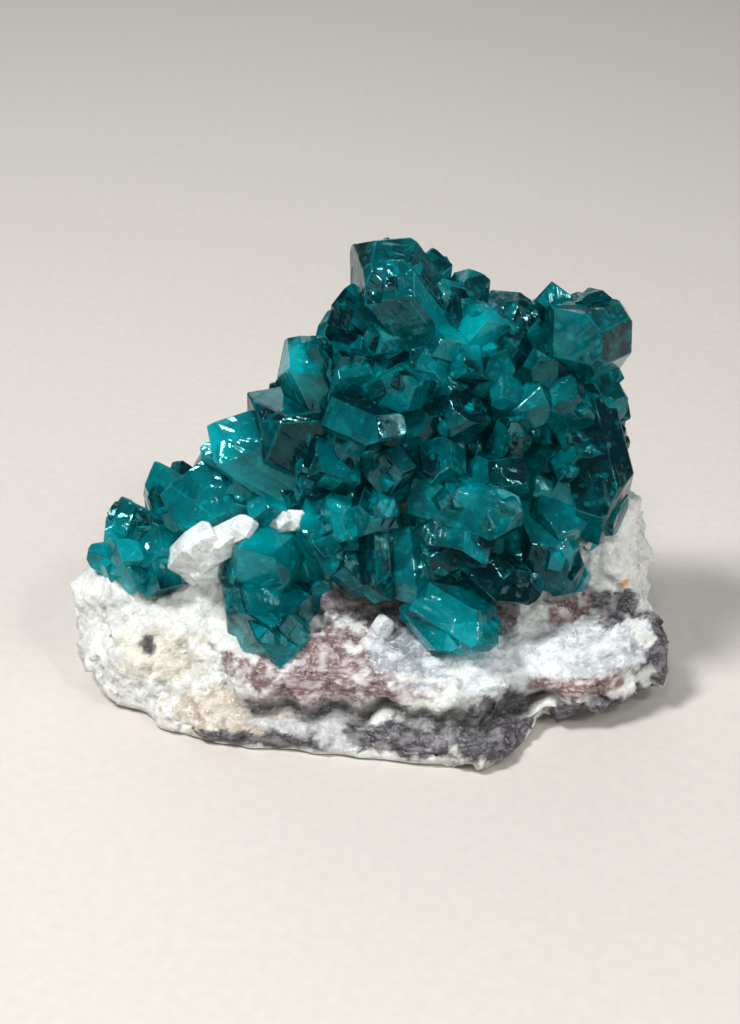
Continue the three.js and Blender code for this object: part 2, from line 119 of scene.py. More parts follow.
# The lights: place, size, power in watts and colour
LIGHT_TARGET = (0, 0, 20)
NEUTRAL = (1, 1, 1)
WARM = (1.0, 0.88, 0.74)
LIGHTS = {
    "key": ((-210, -130, 430), 110, 2.3, NEUTRAL),
    "right_panel": ((430, -260, 260), 380, 0.85, NEUTRAL),
    "back_panel": ((-80, 420, 360), 380, 0.6, NEUTRAL),
    "front_panel": ((0, -620, 230), 280, 0.3, WARM),
    "left_spark": ((-60, -330, 380), 40, 0.34, NEUTRAL),
    "right_spark": ((190, -250, 330), 40, 0.34, NEUTRAL),
}
ROOM_COLOUR = (0.85, 0.88, 0.92, 1)
ROOM_STRENGTH = 0.14

# The floor
FLOOR_REACH = 2500
FLOOR_ROUGHNESS = 0.6
FLOOR_DARK = (0.60, 0.565, 0.525, 1)
FLOOR_LIGHT = (0.64, 0.60, 0.555, 1)

# The druse's surface from left to right: x, then (y, z) of its foot at the front, then of its crest
DRUSE_STATIONS = [
    (-24, (0.5, 14.5), (7.5, 19.0)),
    (-17, (-0.5, 15.5), (8.5, 25.0)),
    (-12, (-1.5, 14.5), (9.0, 29.5)),
    (-8, (-2.0, 13.5), (9.0, 35.0)),
    (-3, (-2.5, 13.5), (9.0, 41.5)),
    (2, (-3.0, 13.5), (9.0, 45.0)),
    (8, (-3.5, 13.5), (9.0, 44.0)),
    (13, (-3.0, 14.0), (9.5, 41.0)),
    (18, (-2.5, 14.5), (9.5, 40.0)),
    (23, (-1.0, 15.5), (9.0, 39.0)),
    (26, (2.0, 17.0), (9.0, 34.0)),
]

# Crystals placed one by one: tip, direction of the long axis, width, length, turn in degrees
TOP_CRYSTALS = [
    ((-0.5, 3.5, 49.2), (-0.5, -0.36, 0.8), 8.4, 14, 34),
    ((1.2, 2.4, 47.4), (-0.5, -0.36, 0.8), 5.0, 10, 34),
    ((2.6, 8.4, 47.6), (0.1, -0.2, 1), 5.0, 11, 20),
    ((6.4, 9.0, 46.6), (0.1, 0.1, 1), 4.6, 10, 5),
    ((10.6, 8.4, 44.9), (0.25, 0, 1), 4.4, 9, 40),
    ((5.0, 4.4, 44.4), (0.1, -0.75, 0.65), 4.8, 9, 12),
    ((8.6, 5.0, 44.0), (0, -0.5, 0.85), 4.6, 9, 50),
    ((12.4, 3.2, 41.8), (0.3, -0.6, 0.7), 5.0, 9, 30),
    ((1.6, 1.4, 41.0), (-0.15, -0.85, 0.5), 6.2, 10, 35),
    ((-3.6, 5.2, 42.0), (-0.45, -0.3, 0.85), 4.6, 9, 8),
    ((-7.6, 2.8, 39.8), (-0.35, -0.15, 0.92), 6.0, 10, 36),
    ((-3.2, 0.6, 37.2), (-0.2, -0.75, 0.62), 6.2, 10, 22),
    ((15.4, 7.0, 42.2), (0, -0.2, 1), 5.0, 9, 14),
]
SHOULDER_CRYSTALS = [
    ((-10.6, -0.8, 31.6), (-0.45, -0.8, 0.6), 10.6, 14, 31),
    ((-16.8, 2.6, 29.9), (-0.75, -0.1, 0.65), 7.0, 12, 37),
    ((-22.2, 2.0, 22.8), (-0.85, -0.35, 0.4), 7.4, 10, 42),
    ((-5.4, -3.2, 27.4), (-0.2, -0.9, 0.35), 6.6, 9, 0),
    ((-14.0, 0.6, 24.4), (-0.2, -0.7, 0.65), 5.4, 9, 10),
    ((-22.9, 8.6, 22.8), (-0.3, 0.1, 0.95), 5.0, 9, 24),
    ((-15.6, -0.2, 21.4), (-0.1, -0.9, 0.45), 4.8, 7, 50),
    ((-11.0, -1.8, 22.6), (0, -0.9, 0.4), 4.6, 7, 16),
]
RIGHT_CRYSTALS = [
    ((22.8, 0.4, 42.2), (0.12, -0.72, 0.66), 8.2, 16, 68),
    ((22.6, 6.6, 43.6), (0.1, 0.1, 1), 4.4, 9, 12),
    ((18.4, 7.6, 43.4), (-0.1, -0.1, 1), 4.4, 9, 0),
    ((26.4, 3.5, 32.8), (0.8, -0.35, 0.45), 4.4, 9, 20),
    ((27.2, 4.2, 28.4), (0.85, -0.3, 0.4), 4.8, 9, 40),
    ((27.6, 5.0, 23.6), (0.9, 0, 0.2), 4.4, 8, 33),
    ((20.8, -0.6, 34.4), (0.3, -0.75, 0.5), 5.2, 9, 6),
    ((21.0, -2.4, 28.6), (0.1, -0.9, 0.4), 5.6, 9, 26),
    ((24.4, -1.2, 17.4), (0.25, -0.5, -0.85), 7.0, 15, 44),
    ((19.5, -4.0, 20.2), (0.1, -0.95, 0.1), 6.0, 9, 48),
]
MIDDLE_CRYSTALS = [
    ((7.2, 0.8, 40.0), (0, -0.75, 0.6), 4.4, 8, 25),
    ((9.9, -0.8, 37.4), (0, -0.9, 0.4), 4.4, 8, 0),
    ((13.6, 1.0, 38.6), (0.3, -0.35, 0.9), 4.6, 9, 103),
    ((13.6, -1.2, 34.9), (0.1, -0.9, 0.35), 3.6, 7, 10),
    ((9.2, -3.2, 33.2), (0.1, -0.9, 0.4), 4.8, 9, 20),
    ((17.2, 1.6, 38.0), (0.1, -0.5, 0.8), 4.2, 8, 30),
    ((17.2, -0.8, 34.2), (0.2, -0.8, 0.5), 4.6, 8, 5),
    ((14.4, -2.8, 31.2), (0, -0.9, 0.4), 4.6, 8, 38),
    ((4.2, -4.0, 31.4), (0.75, -0.6, -0.1), 4.4, 9, 24),
    ((4.6, -1.4, 36.0), (0.2, -0.8, 0.5), 4.8, 8, 55),
    ((-1.4, -3.8, 31.2), (-0.3, -0.85, 0.35), 4.4, 8, 0),
    ((2.8, -5.0, 27.4), (0.1, -1, 0.1), 4.8, 9, 46),
    ((8.2, -5.0, 27.8), (0.2, -0.95, 0.2), 4.8, 9, 4),
    ((15.8, -5.8, 22.6), (0.85, -0.5, -0.05), 5.2, 12, 44),
    ((9.0, -6.4, 23.6), (0.1, -0.95, -0.1), 4.8, 9, 30),
    ((15.6, -4.8, 26.6), (0.5, -0.8, 0.1), 4.6, 8, 8),
]
LOWER_CRYSTALS = [
    ((12.8, -7.2, 18.8), (0.6, -0.75, -0.3), 5.4, 10, 16),
    ((6.4, -6.6, 19.6), (-0.1, -0.9, -0.2), 5.2, 9, 40),
    ((0.6, -5.8, 21.8), (0, -0.95, -0.1), 5.2, 9, 16),
    ((-4.4, -5.4, 16.2), (-0.1, -0.85, -0.3), 6.2, 9, 28),
    ((-3.0, -5.0, 20.4), (-0.1, -0.95, 0), 5.2, 8, 6),
    ((-2.0, -5.6, 13.6), (-0.1, -0.7, -0.65), 4.4, 8, 52),
    ((1.4, -6.2, 13.4), (0.05, -0.55, -0.8), 4.2, 8, 30),
    ((4.6, -6.6, 13.4), (0.1, -0.6, -0.75), 4.2, 8, 10),
    ((7.4, -6.6, 14.8), (0.1, -0.8, -0.5), 6.0, 9, 44),
    ((16.2, -6.6, 13.8), (0.7, -0.55, -0.45), 5.4, 12, 18),
    ((19.8, -5.2, 15.4), (0.3, -0.8, -0.5), 5.6, 10, 2),
    ((17.2, -4.8, 12.4), (0.3, -0.6, -0.7), 4.6, 8, 25),
    ((20.8, -3.6, 13.0), (0.3, -0.6, -0.7), 4.2, 8, 40),
]
LEFT_CRUST_CRYSTALS = [
    ((-26.3, 5.0, 20.4), (-0.2, -0.1, 1), 4.8, 8, 10),
    ((-28.2, 3.2, 18.0), (-0.5, -0.5, 0.7), 4.4, 7, 30),
    ((-29.6, 1.4, 15.6), (-0.5, -0.6, 0.5), 3.8, 6, 0),
    ((-27.6, -0.4, 14.8), (-0.2, -0.9, 0.2), 3.6, 6, 52),
    ((-25.6, -1.6, 16.2), (-0.1, -0.9, 0.4), 4.4, 7, 24),
    ((-24.0, -2.2, 13.8), (0.1, -0.95, 0), 3.6, 6, 44),
    ((-21.4, -1.6, 17.2), (0.1, -0.85, 0.45), 4.4, 7, 12),
    ((-20.8, -2.2, 14.8), (0.1, -0.95, -0.1), 3.6, 6, 36),
    ((-24.0, 1.4, 18.8), (-0.1, -0.7, 0.7), 5.0, 7, 18),
]
LOWER_LEFT_CRYSTALS = [
    ((-8.4, -5.4, 18.2), (0.4, -0.85, 0.45), 7.8, 9, 85),
    ((-13.9, -3.6, 15.8), (-0.35, -0.85, 0.3), 5.4, 8, 20),
    ((-9.8, -9.2, 12.4), (0.15, -0.95, 0.1), 8.8, 11, 72),
    ((-8.4, -10.0, 8.6), (0.35, -0.85, -0.35), 6.4, 9, 72),
]
FRONT_CRYSTALS = [
    ((13.4, -9.8, 10.4), (0.82, -0.5, -0.3), 5.4, 10, 19),
    ((9.4, -10.0, 10.0), (0.6, -0.7, -0.4), 4.6, 8, 4),
]
BACK_UPPER_CRYSTALS = [
    ((17.0, 18.4, 22.0), (0.1, 0.95, 0.3), 3.8, 6, 0),
    ((13.6, 18.2, 23.6), (-0.2, 0.9, 0.4), 3.0, 6, 25),
]
BACK_LOWER_CRYSTALS = [
    ((-3.4, 18.2, 15.0), (-0.1, 0.95, 0.3), 4.2, 6, 12),
    ((-6.4, 18.0, 16.6), (-0.4, 0.85, 0.4), 3.2, 6, 40),
]
LARGE_CRYSTALS = TOP_CRYSTALS + SHOULDER_CRYSTALS + RIGHT_CRYSTALS + MIDDLE_CRYSTALS + LOWER_CRYSTALS

# Each cluster's crystals, and the number that they count their seeds from
CLUSTERS = {
    "druse": (LARGE_CRYSTALS, 100),
    "left_crust": (LEFT_CRUST_CRYSTALS, 500),
    "lower_left": (LOWER_LEFT_CRYSTALS, 520),
    "front_crystal": (FRONT_CRYSTALS, 540),
    "back_upper": (BACK_UPPER_CRYSTALS, 560),
    "back_lower": (BACK_LOWER_CRYSTALS, 580),
}

# Dioptase colours, from the deepest to the painted sparks inside. The painted inner light mixes the three
# teals.
DEEP_TEAL = (0.0, 0.03, 0.039, 1)
MID_TEAL = (0.0, 0.31, 0.345, 1)
BRIGHT_TEAL = (0.0, 0.86, 0.95, 1)
PAINTED_SPARK = (0.55, 1.0, 1.0, 1)

# How dioptase takes light
REFRACTIVE_INDEX = 1.66
TRANSMISSION = 0.7
REFLECTION = 0.15  # 0.5 is the full strength for that index
REFLECTION_COLOUR = (0.35, 0.8, 0.85, 1)
ABSORPTION_COLOUR = (0.0, 0.74, 0.76, 1)
ABSORPTION_DENSITY = 260.0  # per metre

# The relief of a crystal's faces: how fine it is across and along the growth, and its height
LINE_FINENESS = (5.0, 0.35, 1.0)
LINE_HEIGHT = 0.014
ETCH_FINENESS = (2.6, 0.5, 1.0)
ETCH_HEIGHT = 0.22
SWELL_HEIGHT = 0.12

# Places of painted light, where light comes through the crystals, or of painted shade, where they are
# darker: middle, radius and strength
GLOW_PLACES = [
    ((-26, 0, 15), 7.0, 0.40),
    ((-18, 2, 24), 8.0, 0.34),
    ((-8.8, 1.5, 37.5), 3.4, 1.4),
    ((11, 3, 40), 3.5, 0.8),
    ((-17, 1, 28), 4.5, 0.5),
    ((8, -5, 25), 4.5, 0.30),
    ((10, -8, 10), 6.0, 0.36),
    ((-12, -5, 17), 7.0, 0.22),
    ((23, 0, 23), 5.0, 0.22),
    ((-9, -1, 30), 6.0, -0.22),
    ((-2, -2, 33), 5.0, -0.12),
    ((21, 0, 39), 6.0, -0.20),
    ((14, -6, 17), 7.0, -0.20),
    ((-2, -5, 17), 5.0, -0.16),
]

# Calcite crystals that show white between the dioptase, listed as the dioptase is
CALCITE_CRYSTALS = [
    ((-11.4, -1.2, 20.5), (0.82, -0.12, 0.5), 2.6, 9, 68),
    ((-13.4, -2.2, 19.6), (0.7, -0.35, 0.6), 3.4, 8, 30),
    ((-16.0, -2.9, 20.2), (0.4, -0.5, 0.76), 4.6, 7, 15),
    ((-17.6, -3.0, 17.6), (-0.1, -0.7, 0.6), 4.0, 6, 40),
    ((-6.2, -1.5, 20.9), (0.8, -0.5, 0.2), 1.9, 5, 60),
    ((-8.4, -1.9, 21.0), (0.1, -0.9, 0.4), 2.3, 5, 20),
    ((1.6, -5.4, 11.6), (0.2, -0.5, 0.85), 2.2, 5, 30),
]
CALCITE_SEED = 700

# How calcite takes light, and its finest relief
SUBSURFACE = 0.2
SUBSURFACE_RADIUS = (1.0, 1.0, 0.95)  # shares of the depth for red, green and blue
SUBSURFACE_DEPTH = 0.9
LAYER_FINENESS = (0.7, 0.8, 1.5)  # the flecks are wider than they are high
GRAINS_PER_MM = 2.6
GRAIN_TILT = 0.5
PIT_DEPTH = 0.16

# The crack under the ledge, as x and height
LEDGE_CRACK = [(-15, 3.9), (-4, 4.1), (3, 5.0), (10, 3.9), (20, 4.2)]
CRACK_FRONT = (-6.5, -4.5)  # it fades out between these y

# Rock colours, each with the colour of the flecks in it
CALCITE = ((0.66, 0.72, 0.71), (0.80, 0.84, 0.83))
WHITE = ((0.79, 0.81, 0.78), (0.68, 0.70, 0.67))
YELLOWISH = ((0.72, 0.70, 0.60), (0.60, 0.57, 0.49))
CREAM = ((0.50, 0.43, 0.34), (0.72, 0.67, 0.59))
PINK_BROWN = ((0.21, 0.13, 0.13), (0.60, 0.54, 0.55))
BLUE_GREY = ((0.36, 0.38, 0.42), (0.72, 0.77, 0.79))
ICE = ((0.70, 0.75, 0.77), (0.82, 0.85, 0.85))
GREY_ICE = ((0.50, 0.54, 0.57), (0.80, 0.83, 0.84))
DARK_GREY = ((0.055, 0.05, 0.058), (0.24, 0.23, 0.25))
PLATE_GREY = ((0.46, 0.47, 0.48), (0.62, 0.63, 0.63))
RED_BROWN = ((0.24, 0.145, 0.14), (0.62, 0.57, 0.56))
ORANGE = ((0.75, 0.32, 0.10), (0.80, 0.50, 0.22))
# Painted shade under the druse's lower edge, on rock that is dark there too
DARK_ROCK_AND_PAINTED_SHADE = ((0.10, 0.085, 0.09), (0.28, 0.25, 0.26))
# Near black: a small dark mark on the rock, and painted shade in the crack under the ledge
DARK_MARK_AND_CRACK_SHADE = ((0.05, 0.05, 0.055), (0.16, 0.15, 0.15))

# Where they lie: middle, radii, colours. A later one covers an earlier one.
ROCK_ZONES = [
    ((-21.0, -4.5, 6.6), (5.5, 4.0, 3.0), YELLOWISH),
    ((-13.5, -9.5, 2.4), (9.5, 6.5, 2.6), CREAM),
    ((23.5, -6.0, 8.0), (6.5, 6.0, 3.4), GREY_ICE),
    ((13.5, -9.0, 7.8), (7.0, 6.0, 3.2), ICE),
    ((-4.5, -8.0, 7.2), (10.5, 7.0, 3.4), PINK_BROWN),
    ((4.5, -7.0, 8.6), (4.6, 4.6, 3.0), BLUE_GREY),
    # Painted shade under the druse's lower edge, on rock that is partly dark
    ((4.0, -0.6, 11.2), (15.0, 4.2, 2.2), DARK_ROCK_AND_PAINTED_SHADE),
    ((27.0, -1.0, 10.6), (6.0, 3.4, 1.0), DARK_GREY),
    ((-3.5, -13.0, 2.6), (7.0, 3.4, 1.7), PLATE_GREY),
    ((3.0, -15.0, 2.8), (7.5, 4.0, 1.9), DARK_GREY),
    ((13.0, -12.5, 2.8), (7.0, 5.5, 2.5), DARK_GREY),
    ((-14.0, -12.5, 1.2), (9.0, 2.2, 0.9), DARK_GREY),
    ((21.6, -0.5, 9.8), (3.2, 2.6, 1.2), RED_BROWN),
    ((22.5, -9.0, 5.4), (5.5, 3.0, 1.2), RED_BROWN),
    ((24.0, -7.0, 2.2), (8.0, 6.0, 2.0), DARK_GREY),
    ((30.5, -2.0, 6.0), (2.6, 6.0, 2.8), DARK_GREY),
    ((6.0, 15.0, 6.0), (9.0, 5.0, 4.0), PINK_BROWN),
    ((-10.0, 13.0, 3.0), (9.0, 6.0, 2.5), PLATE_GREY),
    ((20.0, 12.0, 4.0), (7.0, 6.0, 3.0), DARK_GREY),
    # A small dark mark on the rock
    ((-23.2, -4.2, 8.0), (0.9, 1.4, 0.7), DARK_MARK_AND_CRACK_SHADE),
    ((26.9, 0.6, 12.2), (0.8, 1.2, 0.5), ORANGE),
]
ZONE_EDGE = (1.14, 0.86)  # a zone fades between these shares of its radii
ZONE_WANDER = (2.6, 0.6)  # size and strength of the waves in a zone's edge
ZONE_WAVINESS = 0.7
ZONE_FRAY = (0.6, 0.22)  # the same for the finest ones


def random_stream(seed):
    """A repeatable stream of numbers from 0 to 1."""
    modulus = 4294967296
    first_multiplier = 2654435761
    first_increment = 12345
    multiplier = 1664525
    increment = 1013904223
    state = (seed * first_multiplier + first_increment) % modulus
    while True:
        state = (state * multiplier + increment) % modulus
        yield state / modulus


def between(pair, share):
    """A value between two, at a share of the way from the first."""
    return pair[0] + (pair[1] - pair[0]) * share


def even_share(value, start, end):
    """0 before start, 1 after end, and an even rise between them."""
    return min(1.0, max(0.0, (value - start) / (end - start)))


def smooth_share(value, start, end):
    """0 before start, 1 after end, and a smooth rise between them."""
    share = even_share(value, start, end)
    return share * share * (3 - 2 * share)


def waves(point, size, roughness):
    """Smooth noise with waves of a size, and finer ones on them."""
    return noise.fractal(point / size, roughness, FINER, OCTAVES)


# Crystals


def crystal_planes(width, length, random):
    """Normal and distance of each face of a crystal along +Z with its tip at the origin."""
    planes = []
    centre = Vector((next(random) - 0.5, next(random) - 0.5, 0)) * AXIS_WANDER * width
    for side in range(PRISM_SIDES):
        around = side * 2 * math.pi / PRISM_SIDES
        normal = Vector((math.cos(around), math.sin(around), 0))
        reach = width / 2 * (1 + SIDE_WANDER * (next(random) - 0.5))
        planes.append((normal, reach + centre.dot(normal)))
    for face in range(POINT_FACES):
        around = math.pi / PRISM_SIDES + face * 2 * math.pi / POINT_FACES
        level = math.sin(POINT_SLOPE)
        normal = Vector((level * math.cos(around), level * math.sin(around), math.cos(POINT_SLOPE)))
        planes.append((normal, 0))
    planes.append((Vector((0, 0, -1)), length))
    return planes


def cut_face(mesh, normal, reach):
    """Takes away what lies beyond a plane, and closes the mesh there."""
    geometry = mesh.verts[:] + mesh.edges[:] + mesh.faces[:]
    cut = bmesh.ops.bisect_plane(mesh, geom=geometry, dist=ON_PLANE, plane_co=normal * reach,
                                 plane_no=normal, clear_outer=True)
    rim = [item for item in cut["geom_cut"] if isinstance(item, bmesh.types.BMEdge)]
    if rim:
        bmesh.ops.edgeloop_fill(mesh, edges=rim)


def cut_small_faces(mesh, width, random):
    """Small faces on a crystal's corners, no two crystals alike."""
    for _ in range(SMALL_FACES):
        around = 2 * math.pi * next(random)
        slope = between(SMALL_FACE_SLOPE, next(random))
        depth = between(SMALL_FACE_DEPTH, next(random) ** 2) * width
        level = math.sin(slope)
        normal = Vector((level * math.cos(around), level * math.sin(around), math.cos(slope)))
        reach = max(vert.co.dot(normal) for vert in mesh.verts)
        cut_face(mesh, normal, reach - depth)


def plain_crystal(width, length, random):
    """A crystal along +Z with its tip at the origin."""
    mesh = bmesh.new()
    bmesh.ops.create_cube(mesh, size=START_CUBE * length)
    for normal, reach in crystal_planes(width, length, random):
        cut_face(mesh, normal, reach)
    return mesh


def place_crystal(mesh, tip, towards, turn):
    """Turns a crystal about its long axis, aims it, and moves its tip into place."""
    about_axis = Matrix.Rotation(math.radians(turn), 4, "Z")
    aim = Vector((0, 0, 1)).rotation_difference(Vector(towards).normalized()).to_matrix().to_4x4()
    place = Matrix.Translation(Vector(tip)) @ aim @ about_axis
    mesh.transform(Matrix.Scale(MM, 4) @ place)


def crystal_mesh(crystal, random):
    """One crystal with its edges rounded.

    The UV map growth holds millimetres across and along the long axis. The map shade holds a random
    number for the whole crystal and one for each face, which set how bright they look.
    """
    tip, towards, width, length, turn = crystal
    mesh = plain_crystal(width, length, random)
    cut_small_faces(mesh, width, random)
    bmesh.ops.remove_doubles(mesh, verts=mesh.verts, dist=SAME_PLACE)
    bmesh.ops.dissolve_degenerate(mesh, dist=SAME_PLACE, edges=mesh.edges)
    bmesh.ops.recalc_face_normals(mesh, faces=mesh.faces)
    bmesh.ops.bevel(mesh, geom=list(mesh.edges), offset=EDGE_ROUNDING * width, segments=1, profile=0.5,
                    affect="EDGES")
    growth = mesh.loops.layers.uv.new("growth")
    shade = mesh.loops.layers.uv.new("shade")
    start = GROWTH_START * next(random)
    brightness = next(random)
    for face in mesh.faces:
        across = face.normal.cross(Vector((0, 0, 1)))
        if across.length < NO_DIRECTION:
            across = Vector((1, 0, 0))
        across.normalize()
        tone = next(random)
        for loop in face.loops:
            loop[growth].uv = (loop.vert.co.dot(across) + start, loop.vert.co.z + start)
            loop[shade].uv = (brightness, tone)
    place_crystal(mesh, tip, towards, turn)
    return mesh


def stepped(crystal, random):
    """Smaller crystals grown in step with a large one, which share its axis and turn."""
    tip, towards, width, length, turn = crystal
    if not STEPPED_WIDTH[0] <= width <= STEPPED_WIDTH[1]:
        return []
    grown = []
    axis = Vector(towards).normalized()
    side = axis.orthogonal().normalized()
    for step in range(STEPS):
        around = Quaternion(axis, 2 * math.pi * (step + next(random)) / STEPS)
        out = width * between(STEP_OUT, next(random))
        down = width * between(STEP_DOWN, next(random))
        size = width * between(STEP_SIZE, next(random))
        moved = Vector(tip) + (around @ side) * out - axis * down
        grown.append((tuple(moved), towards, size, length - down, turn))
    return grown


def druse_station(x):
    """Foot and crest of the druse at a place along X."""
    if x <= DRUSE_STATIONS[0][0]:
        return DRUSE_STATIONS[0][1:]
    for a, b in zip(DRUSE_STATIONS, DRUSE_STATIONS[1:]):
        if x < b[0]:
            share = (x - a[0]) / (b[0] - a[0])
            return [tuple(between((a[i][j], b[i][j]), share) for j in (0, 1)) for i in (1, 2)]
    return DRUSE_STATIONS[-1][1:]


def druse_point(x, angle):
    """A point of the druse's surface: a quarter ellipse from foot to crest that runs on over the back."""
    foot, crest = druse_station(x)
    y = crest[0] - (crest[0] - foot[0]) * math.cos(angle)
    z = foot[1] + (crest[1] - foot[1]) * math.sin(angle)
    return Vector((x, y, z))


def druse_normal(x, angle):
    """The way out of the druse's surface at a point."""
    along = druse_point(x + SLOPE_STEP, angle) - druse_point(x - SLOPE_STEP, angle)
    up = druse_point(x, angle + SLOPE_ANGLE) - druse_point(x, angle - SLOPE_ANGLE)
    return along.cross(up).normalized()


def fill_crystals(large):
    """Crystals that fill the druse between the large ones."""
    random = random_stream(FILL_SEED)
    crystals = []
    x = DRUSE_STATIONS[0][0]
    while x <= DRUSE_STATIONS[-1][0]:
        foot, crest = druse_station(x)
        height = math.hypot(crest[0] - foot[0], crest[1] - foot[1])
        rows = round(height * BACK_REACH / (math.pi / 2) / FILL_SPACING)
        for row in range(rows + 1):
            draws = [next(random) for _ in range(FILL_DRAWS)]
            place_x = x + (draws[0] - 0.5) * FILL_SPACING * FILL_STRAY
            angle = (row + (draws[1] - 0.5) * FILL_STRAY) / rows * BACK_REACH
            normal = druse_normal(place_x, angle)
            tip = druse_point(place_x, angle) + normal * between(FILL_PROUD, draws[2])
            if any((tip - Vector(crystal[0])).length < FILL_CLEARANCE for crystal in large):
                continue
            lean = Vector((draws[3] - 0.5, draws[4] - 0.5, draws[5] - 0.5)) * 2 * FILL_SPLAY
            width = between(FILL_WIDTH, draws[6] ** FILL_NARROW)
            crystals.append((tuple(tip), tuple(normal + lean), width, FILL_LENGTH, FILL_TURN * draws[7]))
        x += FILL_SPACING
    return crystals


def object_from_data(data, name):
    """An object of the scene, from a mesh, a light or a camera."""
    made = bpy.data.objects.new(name, data)
    bpy.context.scene.collection.objects.link(made)
    return made


def object_from(mesh, name):
    """An object of the scene, from a bmesh that is then freed."""
    data = bpy.data.meshes.new(name)
    mesh.to_mesh(data)
    mesh.free()
    return object_from_data(data, name)


def apply_modifiers(piece):
    """Makes the shape that the modifiers give the mesh itself."""
    bpy.context.view_layer.update()
    graph = bpy.context.evaluated_depsgraph_get()
    data = bpy.data.meshes.new_from_object(piece.evaluated_get(graph))
    piece.modifiers.clear()
    piece.data = data


def join_solids(whole, parts):
    """Joins the parts to a solid and takes them away."""
    others = bpy.data.collections.new("parts")
    for part in parts:
        others.objects.link(part)
    joined = whole.modifiers.new("join", "BOOLEAN")
    joined.operation = "UNION"
    joined.solver = "MANIFOLD"
    joined.operand_type = "COLLECTION"
    joined.collection = others
    apply_modifiers(whole)
    for part in parts:
        bpy.data.objects.remove(part)
    bpy.data.collections.remove(others)


def grown_together(name, crystals, seed):
    """Crystals joined in one solid."""
    parts = [object_from(crystal_mesh(c, random_stream(seed + i)), name) for i, c in enumerate(crystals)]
    whole = parts.pop(0)
    join_solids(whole, parts)
    return whole


def surface_tree(piece):
    """A piece's surface, arranged for finding its nearest point."""
    corners = [vertex.co for vertex in piece.data.vertices]
    faces = [face.vertices for face in piece.data.polygons]
    return BVHTree.FromPolygons(corners, faces)


def paint_glow(piece, rock_tree):
    """How bright each point of a cluster is painted inside, as the attribute glow: painted light near the
    rock and at the glow places, and painted shade where a place's strength is below 0.
    """
    glow = piece.data.attributes.new("glow", "FLOAT", "POINT")
    for vertex, item in zip(piece.data.vertices, glow.data):
        far = rock_tree.find_nearest(vertex.co)[3] / MM
        value = GLOW_AT_ROCK * smooth_share(far, GLOW_REACH, 0)
        for middle, radius, strength in GLOW_PLACES:
            away = (vertex.co / MM - Vector(middle)).length
            value += strength * smooth_share(away, radius, radius * GLOW_CORE)
        item.value = value


# The rock


def add_remesh(piece, voxel):
    """A new skin over the piece, on a grid with voxels of a size in millimetres."""
    remesh = piece.modifiers.new("remesh", "REMESH")
    remesh.mode = "VOXEL"
    remesh.voxel_size = voxel * MM


def rock_body():
    """The rock's solid, rounded where its lumps meet."""
    rock = object_from_data(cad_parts["matrix"].data.copy(), "matrix_rock")
    add_remesh(rock, ROCK_COARSE)
    soft = rock.modifiers.new("soft", "SMOOTH")
    soft.iterations = ROCK_ROUNDS
    soft.factor = ROCK_SOFTNESS
    add_remesh(rock, ROCK_FINE)
    apply_modifiers(rock)
    return rock


def colour_layers(piece):
    """The attributes that hold each point's main colour and the colour of its flecks."""
    names = ("main_colour", "fleck_colour")
    return [piece.data.attributes.new(name, "FLOAT_COLOR", "POINT") for name in names]


def cell_facet(point, size, seed):
    """Height of a surface broken into flat facets, each tilted its own way, at a point."""
    shifted = point / size + Vector((seed, 2 * seed, 3 * seed))
    _, middles = noise.voronoi(shifted)
    middle = middles[0]
    tilt = noise.cell_vector(middle * FACET_KEYS[0]) * 2 - Vector((1, 1, 1))
    return tilt.dot(shifted - middle) + FACET_STEP * (noise.cell(middle * FACET_KEYS[1]) - 0.5)


def rock_height(point):
    """How far the rock's surface stands out at a point, in millimetres."""
    bulges = waves(point, ROCK_BULGES[0], BULGE_ROUGHNESS) * ROCK_BULGES[1]
    facets = cell_facet(point, ROCK_FACETS[0], FACET_SEED) * ROCK_FACETS[1]
    grains = cell_facet(point, ROCK_GRAINS[0], GRAIN_SEED) * ROCK_GRAINS[1]
    return bulges + facets + grains


def crack_share(point):
    """How far a point is into the crack under the ledge, from 0 to 1."""
    x = point.x
    first = LEDGE_CRACK[0][0]
    last = LEDGE_CRACK[-1][0]
    if x < first or x > last:
        return 0.0
    for a, b in zip(LEDGE_CRACK, LEDGE_CRACK[1:]):
        if x <= b[0]:
            height = between((a[1], b[1]), (x - a[0]) / (b[0] - a[0]))
            break
    wander = CRACK_WANDER[1] * noise.noise(Vector((x / CRACK_WANDER[0], 0, 0)))
    ends = smooth_share(x, first, first + CRACK_FADE) * smooth_share(x, last, last - CRACK_FADE)
    front = 1 - smooth_share(point.y, *CRACK_FRONT)
    return front * ends * math.exp(-((point.z - height - wander) / CRACK_WIDTH) ** 2)


def rock_colours(point):
    """Main colour and fleck colour of the rock at a point, with painted shade under the druse and in the
    crack under the ledge.
    """
    wander = ZONE_WANDER[1] * waves(point, ZONE_WANDER[0], ZONE_WAVINESS)
    wander += ZONE_FRAY[1] * noise.noise(point / ZONE_FRAY[0])
    main = Vector(WHITE[0])
    flecks = Vector(WHITE[1])
    for middle, radii, colours in ROCK_ZONES:
        away = Vector([(p - m) / r for p, m, r in zip(point, middle, radii)]).length + wander
        share = smooth_share(away, *ZONE_EDGE)
        if share > 0:
            main = main.lerp(Vector(colours[0]), share)
            flecks = flecks.lerp(Vector(colours[1]), share)
    # The crack under the ledge is painted near black: painted shade in its recess
    crack = crack_share(point)
    return main.lerp(Vector(DARK_MARK_AND_CRACK_SHADE[0]), crack), flecks.lerp(Vector(DARK_MARK_AND_CRACK_SHADE[1]), crack)


